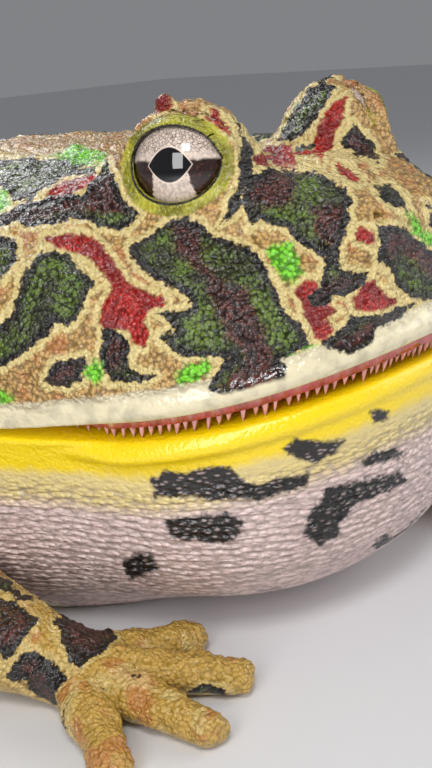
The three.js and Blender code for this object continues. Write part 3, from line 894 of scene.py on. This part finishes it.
def vertex_vectors(mesh, key):
    """One vector for each vertex, such as its place or its normal."""
    values = np.empty(len(mesh.vertices) * 3, np.float32)
    mesh.vertices.foreach_get(key, values)
    return values.reshape(-1, 3)


def place_vertices(mesh, places):
    """Moves a mesh's vertices to places in millimetres."""
    mesh.vertices.foreach_set("co", (np.asarray(places) * MM).ravel())


def divide(piece, levels):
    """Splits every face in four without rounding it."""
    modifier = piece.modifiers.new("split", "SUBSURF")
    modifier.subdivision_type = "SIMPLE"
    modifier.levels = levels
    with bpy.context.temp_override(object=piece, active_object=piece, selected_objects=[piece]):
        bpy.ops.object.modifier_apply(modifier=modifier.name)


def math_method(operation):
    """A method that adds a Math node for a value and any other numbers."""

    def method(self, *others):
        return self.look.node("ShaderNodeMath", {"operation": operation}, dict(enumerate((self, *others))))

    return method


class Value:
    """A number that varies over a surface: sums on it add Math nodes."""

    __add__ = __radd__ = math_method("ADD")
    __mul__ = __rmul__ = math_method("MULTIPLY")
    __sub__ = math_method("SUBTRACT")
    __truediv__ = math_method("DIVIDE")
    most = math_method("MAXIMUM")
    size = math_method("ABSOLUTE")

    def __init__(self, look, socket):
        self.look = look
        self.socket = socket

    def __rsub__(self, other):
        return self.look.node("ShaderNodeMath", {"operation": "SUBTRACT"}, {0: other, 1: self})

    def ramp(self, low, high):
        """0 below low, 1 above high, and smooth between them."""
        settings = {"interpolation_type": "SMOOTHSTEP"}
        sockets = {"Value": self, "From Min": low, "From Max": high}
        return self.look.node("ShaderNodeMapRange", settings, sockets)


class Look:
    """A material and the nodes behind its Principled shader."""

    def __init__(self, name):
        self.material = bpy.data.materials.new(name)
        self.material.use_nodes = True
        self.tree = self.material.node_tree
        self.shader = self.tree.nodes["Principled BSDF"]
        self.place = None

    def node(self, kind, settings=None, sockets=None, output=0):
        made = self.tree.nodes.new(kind)
        for key, value in (settings or {}).items():
            setattr(made, key, value)
        for key, value in (sockets or {}).items():
            self.feed(made.inputs[key], value)
        return Value(self, made.outputs[output])

    def feed(self, socket, value):
        if isinstance(value, Value):
            self.tree.links.new(value.socket, socket)
        elif socket.type == "RGBA":
            socket.default_value = (*value, 1)
        else:
            socket.default_value = value

    def spot(self):
        """The piece's own place for textures."""
        if self.place is None:
            self.place = self.node("ShaderNodeTexCoord", output=3)
        return self.place

    def mark(self, name):
        return self.node("ShaderNodeAttribute", {"attribute_name": name}, output=2)

    def noise(self, size, detail=2.0, rough=0.5):
        """Noise from about 0 to 1, with features of a size in metres."""
        sockets = {"Vector": self.spot(), "Scale": 1 / size, "Detail": detail, "Roughness": rough}
        return self.node("ShaderNodeTexNoise", {}, sockets)

    def cells(self, size, vector=None, feature="F1"):
        """Distance to the nearest cell centre, or to the nearest edge, from 0 to about 1."""
        sockets = {"Vector": vector or self.spot(), "Scale": 1 / size}
        return self.node("ShaderNodeTexVoronoi", {"feature": feature}, sockets)

    def mix(self, factor, first, second):
        sockets = {0: factor, 6: first, 7: second}
        return self.node("ShaderNodeMix", {"data_type": "RGBA"}, sockets, output=2)

    def shade(self, factor, colour, share):
        """A colour that falls to a share of itself where the factor is 1."""
        return self.mix(factor, colour, dim(colour, share))

    def bump(self, height, distance):
        return self.node("ShaderNodeBump", {}, {"Height": height, "Distance": distance})

    def set(self, **sockets):
        for key, value in sockets.items():
            self.feed(self.shader.inputs[key.replace("_", " ")], value)


def dim(colour, share):
    return [part * share for part in colour]


def colour_property(name, description, red, green, blue):
    """A colour given as screen values from 0 to 255."""
    linear = [((c / 255 + 0.055) / 1.055) ** 2.4 if c > 10 else c / 255 / 12.92 for c in (red, green, blue)]
    limits = {"size": 3, "min": 0, "max": 1}
    return FloatVectorProperty(name=name, description=description, subtype="COLOR", default=linear, **limits)


def length_property(name, description, default):
    style = {"unit": "LENGTH", "precision": 5, "min": 0}
    return FloatProperty(name=name, description=description, default=default, **style)


class FrogColours(bpy.types.PropertyGroup):
    tan: colour_property("Network", "Warty network between the islands", 208, 166, 98)
    cream: colour_property("Network edge", "Pale edge round each island", 226, 204, 136)
    olive: colour_property("Olive", "Dark part of a green island", 58, 66, 22)
    leaf: colour_property("Leaf green", "Bright part of a green island", 98, 122, 34)
    black: colour_property("Island rim", "Dark line round each island", 20, 15, 12)
    maroon: colour_property("Maroon", "Brown heart of an island", 92, 42, 32)
    red: colour_property("Red", "Red patches", 182, 30, 20)
    lime: colour_property("Lime", "Bright green spots", 126, 220, 34)
    lip: colour_property("Upper lip", "Cream band along the mouth", 236, 224, 188)
    yellow: colour_property("Lower lip", "Yellow band under the mouth", 254, 220, 6)
    chin: colour_property("Chin", "Pale wrinkled chin", 224, 198, 192)
    belly: colour_property("Belly", "Underside", 226, 204, 168)
    ochre: colour_property("Ochre", "Ground colour of the hands and feet", 196, 158, 54)
    gum: colour_property("Gum", "Gum over the teeth", 204, 58, 70)
    mouth: colour_property("Mouth", "Lining of the mouth", 168, 84, 84)
    lid: colour_property("Eyelid", "Ring of lid round the eye", 188, 182, 52)
    tooth: colour_property("Teeth", "Small upper teeth", 244, 176, 184)
    iris: colour_property("Iris", "Pale part of the iris", 236, 216, 200)
    speck: colour_property("Iris patch", "Dark patches of the iris", 66, 32, 22)
    floor: colour_property("Floor", "Plain floor", 226, 226, 228)


class FrogSizes(bpy.types.PropertyGroup):
    granule: length_property("Granule height", "Height of the small bumps of the skin", 0.00024)
    wart: length_property("Wart height", "Height of the larger bumps of the skin", 0.0004)
    tubercle: length_property("Tubercle height", "Height of the scattered warts of the back", 0.0007)
    wrinkle: length_property("Wrinkle height", "Height of the wrinkles of the chin", 0.00014)
    tooth: length_property("Tooth length", "Length of an upper tooth below the gum", 0.0019)
    pitch: length_property("Tooth spacing", "Distance between the teeth's roots", 0.0012)


# Materials
class SkinLook(Look):
    """The skin's textures and marks, and the colours of its regions."""

    def __init__(self, colours):
        super().__init__("frog_skin")
        self.colours = colours
        self.coarse = self.noise(COARSE) - 0.5
        self.fine = self.noise(FINE) - 0.5
        self.broad = self.noise(BROAD, 3.0)
        self.medium = self.noise(MEDIUM)
        self.speck = self.cells(SPECK)
        squashed = self.node("ShaderNodeMapping", {}, {"Vector": self.spot(), "Scale": WEAVE_SQUASH})
        self.weave = self.cells(WEAVE, squashed)
        wobble = self.coarse * 1.3 + self.fine * 0.9
        self.island = self.mark("island") + wobble
        self.maroon = self.mark("maroon") + wobble * 1.2
        self.red = self.mark("red") + wobble * 0.8
        self.lime = self.mark("lime") + wobble * 1.1
        self.blotch = self.mark("blotch") + wobble * 0.8
        self.lip = self.mark("lip") + self.coarse * 0.9
        self.drop = self.mark("drop") + self.coarse * 1.4
        self.lid = self.mark("lid")
        self.jaw = self.mark("jaw")
        self.gum = self.mark("gum")
        self.limb = self.mark("limb")
        self.ventral = self.mark("ventral")

    def network(self):
        """Tan granules with a cream edge along each island, orange tints and glossy red patches, the tan and
        red darker in the granules' creases as painted shade.
        """
        colours = self.colours
        # painted shade: the tan falls to half in the creases between granules
        tan = self.shade(self.speck.ramp(0.25, 0.75), colours.tan, 0.5)
        tan = self.mix(self.limb * 0.6, tan, colours.ochre)
        orange = self.mix(0.65, colours.tan, colours.red)
        tan = self.mix((self.broad - 0.52).ramp(0.0, 0.12) * 0.5, tan, orange)
        edge = (1 - (self.island - 0.35).size().ramp(0.15, 0.55)) * (1 - self.limb * 0.5)
        red_edge = 1 - (self.red - 0.4).size().ramp(0.15, 0.5)
        ground = self.mix(edge.most(red_edge), tan, colours.cream)
        bright = self.shade(self.broad.ramp(0.4, 0.65), colours.red, 0.4)
        # painted shade: the red patches darken in the creases between granules
        patch = self.mix(self.speck.ramp(0.3, 0.8), bright, dim(colours.red, 0.5))
        return self.mix(1 - self.red.ramp(-0.25, 0.2), ground, patch)

    def island_fill(self, crease_shade):
        """Green granules, a maroon heart and a black rim, with black painted into the creases between
        granules as painted shade.
        """
        colours = self.colours
        green = (self.broad + self.medium * 0.4).ramp(0.58, 0.82)
        leaf = self.mix(green, colours.leaf, colours.olive)
        heart = self.shade(self.medium.ramp(0.4, 0.7), colours.maroon, 0.45)
        inner = self.mix(1 - self.maroon.ramp(-0.7, 0.5), leaf, heart)
        # painted shade: black laid into the creases between the granules
        inner = self.mix(crease_shade * 0.8, inner, colours.black)
        rim = self.island.ramp(-1.25, -0.4) * (0.6 + self.broad * 0.8)
        return self.mix(rim, inner, colours.black)

    def upper_side(self):
        """Islands in the network, with bright green spots over both; the spots darken in the granules'
        creases as painted shade.
        """
        # painted shade: 1 in the creases between the skin's granules, where shade would fall
        crease_shade = self.speck.ramp(0.35, 0.72)
        back = self.mix(1 - self.island.ramp(-0.12, 0.12), self.network(), self.island_fill(crease_shade))
        # painted shade: the lime spots darken in the granules' creases
        fresh = self.shade(crease_shade, self.colours.lime, 0.42)
        return self.mix(1 - self.lime.ramp(-0.5, 0.3), back, fresh)

    def under_side(self, back):
        """A pale belly, and a yellow lower lip over a wrinkled chin with dark blotches, with painted shade in
        the creases of the chin's wrinkles.
        """
        colours = self.colours
        belly = self.shade(self.broad.ramp(0.4, 0.7), colours.belly, 0.84)
        belly = self.mix(self.limb * 0.8, belly, colours.ochre)
        back = self.mix(self.ventral.ramp(0.35, 0.65), back, belly)
        # painted shade: the chin darkens in the creases of its woven wrinkle, away from the bumps' tops
        wrinkle_shade = self.weave.ramp(0.4, 0.75) * self.drop.ramp(5, 8)
        chin = self.mix(self.drop.ramp(7.5, 10.5), colours.cream, colours.chin)
        chin = self.mix(wrinkle_shade * 0.55, chin, dim(colours.chin, 0.4))
        under = self.mix(self.drop.ramp(3.7, 5.6), colours.yellow, chin)
        back = self.mix(self.jaw.ramp(0.4, 0.6), back, under)
        # the blotches are dark, and blacker still towards the wrinkle creases as painted shade
        dark = self.mix(self.weave.ramp(0.12, 0.42), dim(colours.chin, 0.42), colours.black)
        spotted = (1 - self.blotch.ramp(-0.25, 0.3)) * self.ventral.ramp(0.4, 0.7)
        return self.mix(spotted, back, dark)

    def lips_and_lids(self, back):
        """The cream upper lip, the ring of lid round the eye, the gum, and the mouth behind it, its lining
        dimmed as painted shade.
        """
        colours = self.colours
        outside_islands = self.island.ramp(-0.3, 0.1).most(1 - self.lip.ramp(1.5, 2.1))
        lip = (1 - self.lip.ramp(LIP_BAND, LIP_BAND + 0.6)) * outside_islands
        back = self.mix(lip, back, self.shade(self.medium.ramp(0.4, 0.75), colours.lip, 0.72))
        ring = 1 - (self.lid + self.fine * 0.8).ramp(1.1, 1.5)
        back = self.mix(ring, back, self.shade(self.broad.ramp(0.4, 0.62), colours.lid, 0.4))
        back = self.mix(1 - (self.lid + 0.05).size().ramp(0.05, 0.25), back, colours.black)
        gum = self.shade(self.noise(GUM_MOTTLE).ramp(0.4, 0.7), colours.gum, 0.6)
        back = self.mix(self.gum, back, gum)
        # painted shade: the lining deep in the mouth is dimmed to about a third
        return self.mix(self.mark("inside"), back, dim(colours.mouth, 0.35))

    def height(self):
        """Fine granules above, and a woven wrinkle on the chin."""
        grain = self.cells(GRAIN)
        off_lip = self.lip.ramp(LIP_BAND - 0.6, LIP_BAND + 0.4)
        warty = (1 - self.gum) * (1 - self.jaw * 0.8) * (0.15 + 0.85 * off_lip)
        height = (1 - self.speck * self.speck) * warty + (1 - grain * grain) * warty * 0.35
        return height + (1 - self.weave) * self.jaw * self.drop.ramp(4, 8) * 1.1 + self.medium * 0.3


def skin_look(colours):
    """Islands of green and maroon in a warty cream, red and tan network, pale lips and chin."""
    look = SkinLook(colours)
    look.set(
        Base_Color=look.lips_and_lids(look.under_side(look.upper_side())),
        Roughness=0.05 + look.medium * 0.18 + look.jaw * 0.16,
        Normal=look.bump(look.height(), RELIEF),
        Specular_IOR_Level=0.9,
        Coat_Weight=0.18,
        Coat_Roughness=0.16,
        IOR=1.42,
    )
    return look.material


def eye_look(colours):
    """Pale iris with dark patches under a wet cornea: marks give the place across and up the eye."""
    look = Look("frog_eye")
    across = look.mark("across")
    up = look.mark("up")
    grit = look.noise(IRIS_GRIT, 3.0, 0.65)
    wide = look.noise(IRIS_MOTTLE)
    veins = look.cells(VEIN_SPACING, feature="DISTANCE_TO_EDGE")
    pale = look.shade(grit.ramp(0.35, 0.7), colours.iris, 0.6)
    lines = (1 - veins.ramp(0.02, 0.12)) * up.ramp(0.8, 1.8) * 0.75
    pale = look.mix(lines, pale, colours.speck)
    patch = (across.size() - (1.8 - up * 0.2) + (grit - 0.5) * 0.7).ramp(-0.12, 0.12)
    patch = patch * (1 - (up + (wide - 0.5) * 0.8).ramp(0.3, 0.75))
    dark = look.mix(grit.ramp(0.5, 0.72), dim(colours.speck, 0.3), dim(colours.speck, 2.2))
    iris = look.mix(patch, pale, dark)
    wide_share = across / PUPIL_HALF_WIDTH
    reach = up.size() / PUPIL_HALF_HEIGHT + wide_share * wide_share
    pupil = 1 - (reach + (grit - 0.5) * 0.06).ramp(0.97, 1.03)
    ring = (1 - (reach - 1.05).size().ramp(0.03, 0.1)) * 0.6
    iris = look.mix(ring, iris, dim(colours.iris, 1.15))
    iris = look.mix(pupil, iris, PUPIL_BLACK)
    look.set(Base_Color=iris, Roughness=0.35 - pupil * 0.3, Coat_Weight=1.0, Coat_Roughness=0.02, IOR=1.4)
    return look.material


def tooth_look(colours):
    look = Look("frog_teeth")
    tint = look.shade(look.noise(TOOTH_MOTTLE).ramp(0.35, 0.7), colours.tooth, 0.7)
    look.set(Base_Color=tint, Roughness=0.25, Coat_Weight=0.5, Coat_Roughness=0.1)
    return look.material


def floor_look(colours):
    look = Look("floor")
    look.set(Base_Color=colours.floor, Roughness=0.7)
    return look.material


# Pieces
def write_mark(mesh, name, values):
    layer = mesh.attributes.new(name, "FLOAT", "POINT")
    layer.data.foreach_set("value", np.ascontiguousarray(values, np.float32))


class FROG_OT_skin(bpy.types.Operator):
    """Model the whole skin as one mesh, with its warts, wrinkles and markings"""

    bl_idname = "frog.skin"
    bl_label = "Skin"

    def execute(self, context):
        axes = [graded(*line) for line in GRID]
        vertices, faces = surface_net(axes, sampled_form(axes, frog_form))
        piece = new_mesh("skin", vertices, faces)
        divide(piece, 1)
        mesh = piece.data
        places = settle(vertex_vectors(mesh, "co") / MM, frog_form)
        place_vertices(mesh, places)
        mesh.update()
        normals = vertex_vectors(mesh, "normal")
        marks = skin_marks(places, normals)
        sizes = context.scene.frog_sizes
        heights = {key: getattr(sizes, key) / MM for key in ("granule", "wart", "tubercle", "wrinkle")}
        relief = skin_relief(places, marks, heights)
        places += normals * relief[:, None]
        places[:, 2] = np.maximum(places[:, 2], 0.0)
        place_vertices(mesh, places)
        for name, values in marks.items():
            write_mark(mesh, name, values)
        mesh.update()
        mesh.materials.append(skin_look(context.scene.frog_colours))
        flesh = [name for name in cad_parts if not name.endswith("_eye")]
        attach(piece, "root")
        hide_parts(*flesh)
        return {"FINISHED"}


class FROG_OT_eyes(bpy.types.Operator):
    """Model both eyes, with a pale iris, dark patches and a wide black pupil"""

    bl_idname = "frog.eyes"
    bl_label = "Eyes"

    def execute(self, context):
        material = eye_look(context.scene.frog_colours)
        turn = np.linspace(0, math.pi, EYE_RINGS + 1)[1:-1]
        around = np.arange(EYE_SPOKES) * 2 * math.pi / EYE_SPOKES
        places = [(t, a) for t in turn for a in around]
        ring = [(math.sin(t) * math.cos(a), math.sin(t) * math.sin(a), math.cos(t)) for t, a in places]
        ball = np.array([*ring, (0, 0, 1), (0, 0, -1)]) * EYE_RADIUS
        vertices = EYE + ball @ np.array((EYE_SIDE, EYE_UP, EYE_AXIS))
        faces = ball_faces(len(turn), EYE_SPOKES)
        for side, word in ((1, "left"), (-1, "right")):
            mirror = np.array((side, 1, 1))
            piece = new_mesh(f"{word}_eyeball", vertices * mirror, faces if side > 0 else faces[:, ::-1])
            write_mark(piece.data, "across", ball[:, 0])
            write_mark(piece.data, "up", ball[:, 1])
            piece.data.materials.append(material)
            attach(piece, "root")
            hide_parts(f"{word}_eye")
        return {"FINISHED"}


def ball_faces(rings, spokes):
    """Triangles of a ball with poles, wound outwards."""
    faces = []
    top, bottom = rings * spokes, rings * spokes + 1
    for k in range(spokes):
        after = (k + 1) % spokes
        faces.append((top, k, after))
        faces.append((bottom, (rings - 1) * spokes + after, (rings - 1) * spokes + k))
        for r in range(rings - 1):
            a, b = r * spokes + k, r * spokes + after
            faces.append((a, a + spokes, b))
            faces.append((b, a + spokes, b + spokes))
    return np.array(faces)


class FROG_OT_teeth(bpy.types.Operator):
    """Set a row of small pointed teeth in the upper gum"""

    bl_idname = "frog.teeth"
    bl_label = "Teeth"

    def execute(self, context):
        sizes = context.scene.frog_sizes
        length, pitch = sizes.tooth / MM, sizes.pitch / MM
        random = np.random.default_rng(TOOTH_SEED)
        angles = np.linspace(0, math.pi, LIP_STEPS)
        curve = np.array([lip_point(a, TOOTH_ROW_INSET) for a in angles])
        run = np.concatenate(([0], np.cumsum(np.linalg.norm(np.diff(curve, axis=0), axis=1))))
        vertices, faces = [], []
        along = pitch
        while along < run[-1]:
            x, y = (np.interp(along, run, curve[:, k]) for k in range(2))
            gape = float(mouth_gape(np.array((x, y, 0))))
            if gape > NARROWEST_GAPE and random.random() > MISSING_TEETH:
                add_tooth(vertices, faces, (x, y), gape / MOUTH_OPEN, length, random)
            along += pitch * random.uniform(*TOOTH_SPACINGS)
        piece = new_mesh("teeth", np.concatenate(vertices), np.concatenate(faces))
        piece.data.materials.append(tooth_look(context.scene.frog_colours))
        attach(piece, "root")
        return {"FINISHED"}


def lip_point(angle, inset):
    bend = 2 / LIP_POWER
    x = math.copysign(abs(math.cos(angle)) ** bend, math.cos(angle))
    y = abs(math.sin(angle)) ** bend
    return (JAW_HALF_WIDTH - inset) * x, JAW_CORNER_Y - (JAW_LENGTH - inset) * y


def add_tooth(vertices, faces, root, share, length, random):
    """One slightly hooked cone with a round tip, its root sunk in the gum."""
    spokes, rings = TOOTH_SPOKES, TOOTH_RINGS
    reach = length * share * random.uniform(*TOOTH_REACHES)
    width = random.uniform(*TOOTH_WIDTHS)
    top = LIP_Z - LIP_DROP * (root[0] / JAW_HALF_WIDTH) ** 2 - GUM_DEPTH * share
    lean = random.uniform(-TOOTH_LEAN, TOOTH_LEAN)
    inward = -np.array(root) / max(np.linalg.norm(root), 1e-6)
    rows = []
    for r in range(rings):
        t = r / (rings - 1)
        radius = width * (1 - t**1.7) + TOOTH_TIP
        height = top + TOOTH_ROOT - t * (reach + TOOTH_ROOT)
        shift = TOOTH_HOOK * reach * t * t
        for k in range(spokes):
            a = 2 * math.pi * k / spokes
            x = root[0] + radius * math.cos(a) + inward[0] * shift + lean * t * reach
            y = root[1] + radius * math.sin(a) + inward[1] * shift
            rows.append((x, y, height))
    start = sum(len(v) for v in vertices)
    made = []
    for r in range(rings - 1):
        for k in range(spokes):
            a, b = start + r * spokes + k, start + r * spokes + (k + 1) % spokes
            made.append((a, a + spokes, b + spokes, b))
    vertices.append(np.array(rows))
    faces.append(np.array(made))


class FROG_OT_stage(bpy.types.Operator):
    """Lay the pale floor and set the lights and the camera"""

    bl_idname = "frog.stage"
    bl_label = "Floor, lights and camera"

    def execute(self, context):
        corners = [(x * FLOOR_HALF, y * FLOOR_HALF, 0) for x, y in ((-1, -1), (1, -1), (1, 1), (-1, 1))]
        ground = new_mesh("floor", corners, [(0, 1, 2, 3)])
        ground.data.materials.append(floor_look(context.scene.frog_colours))
        _, right, up, back = camera_axes()
        window = EYE * (-1, 1, 1) + WINDOW_DISTANCE * (back - WINDOW_LEFT * right - WINDOW_DOWN * up)
        soft_light("window", window, WINDOW_SIZE, WINDOW_POWER)
        for name, (place, size, power) in LIGHTS.items():
            soft_light(name, place, size, power)
        world = bpy.data.worlds.new("studio")
        world.use_nodes = True
        shade = world.node_tree.nodes["Background"]
        shade.inputs["Color"].default_value = (*SKY_COLOUR, 1)
        shade.inputs["Strength"].default_value = SKY_POWER
        context.scene.world = world
        context.scene.view_settings.view_transform = "Standard"
        photo_camera(context.scene)
        return {"FINISHED"}


def soft_light(name, place, size, power):
    """A soft light of a given width and height that faces the head."""
    lamp = bpy.data.lights.new(name, "AREA")
    lamp.energy = power
    lamp.shape = "RECTANGLE"
    lamp.size, lamp.size_y = size[0] * MM, size[1] * MM
    light = bpy.data.objects.new(name, lamp)
    light.location = Vector(place) * MM
    aim = Vector(LIGHTS_AIM) * MM - light.location
    light.rotation_euler = aim.to_track_quat("-Z", "Y").to_euler()
    bpy.context.scene.collection.objects.link(light)


def photo_camera(scene):
    """The photograph's viewpoint and framing."""
    place, _, _, back = camera_axes()
    lens = bpy.data.cameras.new("photo")
    lens.sensor_width = SENSOR
    lens.lens = FOCAL_PIXELS / PHOTO_HEIGHT * SENSOR
    lens.clip_start = CLIP_START
    camera = bpy.data.objects.new("photo", lens)
    camera.location = Vector(place) * MM
    camera.rotation_mode = "QUATERNION"
    level = (-Vector(back)).to_track_quat("-Z", "Y")
    camera.rotation_quaternion = Quaternion(Vector(back), CAMERA_ROLL) @ level
    scene.collection.objects.link(camera)
    scene.camera = camera


class FROG_PT_panel(bpy.types.Panel):
    """Lists the frog's sizes, colours and steps"""

    bl_label = "Argentine Horned Frog"
    bl_idname = "FROG_PT_panel"
    bl_space_type = "VIEW_3D"
    bl_region_type = "UI"
    bl_category = "Frog"

    def draw(self, context):
        for group in (context.scene.frog_sizes, context.scene.frog_colours):
            for key in group.__annotations__:
                self.layout.prop(group, key)
        for step in STEPS:
            self.layout.operator(step.bl_idname)


STEPS = (FROG_OT_skin, FROG_OT_eyes, FROG_OT_teeth, FROG_OT_stage)
CLASSES = (FrogColours, FrogSizes, *STEPS, FROG_PT_panel)


def register():
    for item in CLASSES:
        bpy.utils.register_class(item)
    bpy.types.Scene.frog_colours = PointerProperty(type=FrogColours)
    bpy.types.Scene.frog_sizes = PointerProperty(type=FrogSizes)


def unregister():
    del bpy.types.Scene.frog_colours
    del bpy.types.Scene.frog_sizes
    for item in reversed(CLASSES):
        bpy.utils.unregister_class(item)


def main():
    register()
    bpy.ops.frog.skin()
    bpy.ops.frog.eyes()
    bpy.ops.frog.teeth()
    bpy.ops.frog.stage()


if __name__ == "__main__":
    main()
